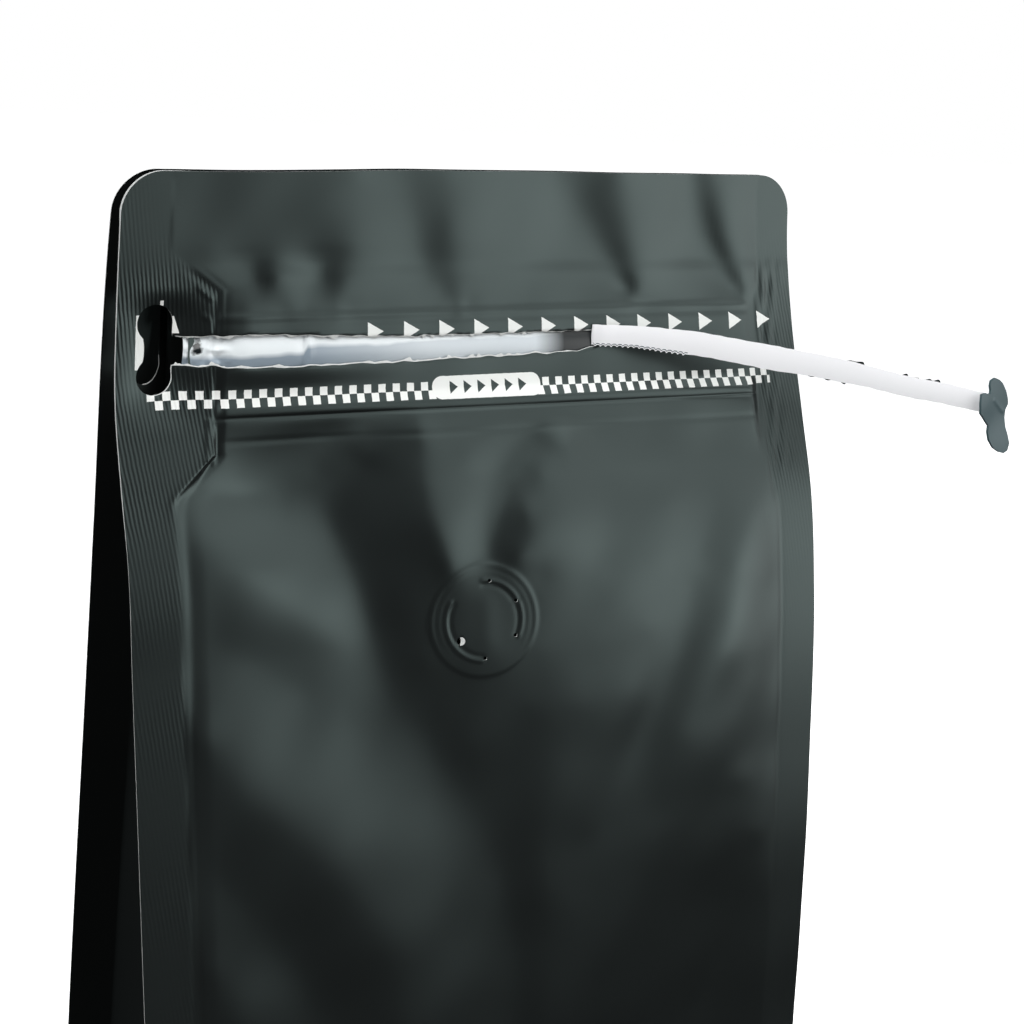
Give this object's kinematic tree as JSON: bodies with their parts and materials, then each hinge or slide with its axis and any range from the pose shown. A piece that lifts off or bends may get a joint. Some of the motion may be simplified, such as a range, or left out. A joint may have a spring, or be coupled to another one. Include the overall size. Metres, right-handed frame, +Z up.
{
  "type": "stand-up coffee pouch",
  "caption": "Flat-bottom coffee pouch in matte black film with side gussets, edge seals, a degassing valve and a pocket zipper whose white tear strip is half peeled.",
  "frame": {"origin": "middle of the flat base, on the surface that the pouch stands on", "axes": "+Z up to the top edge, -Y out of the front panel with the zipper and the valve, +X to the viewer's right"},
  "size_m": [0.1664, 0.076, 0.265],
  "materials": {
    "black_laminate": "matte printed black film with a soft sheen",
    "inner_film": "glossy crumpled pearl-white inner film",
    "white_film": "satin white back of the peeled film",
    "tab_laminate": "matte dark film"
  },
  "bodies": {
    "root": {"pouch": "black_laminate", "zipper_film": "inner_film", "tear_strip": "white_film", "pull_tab": "tab_laminate"}
  },
  "joints": []
}
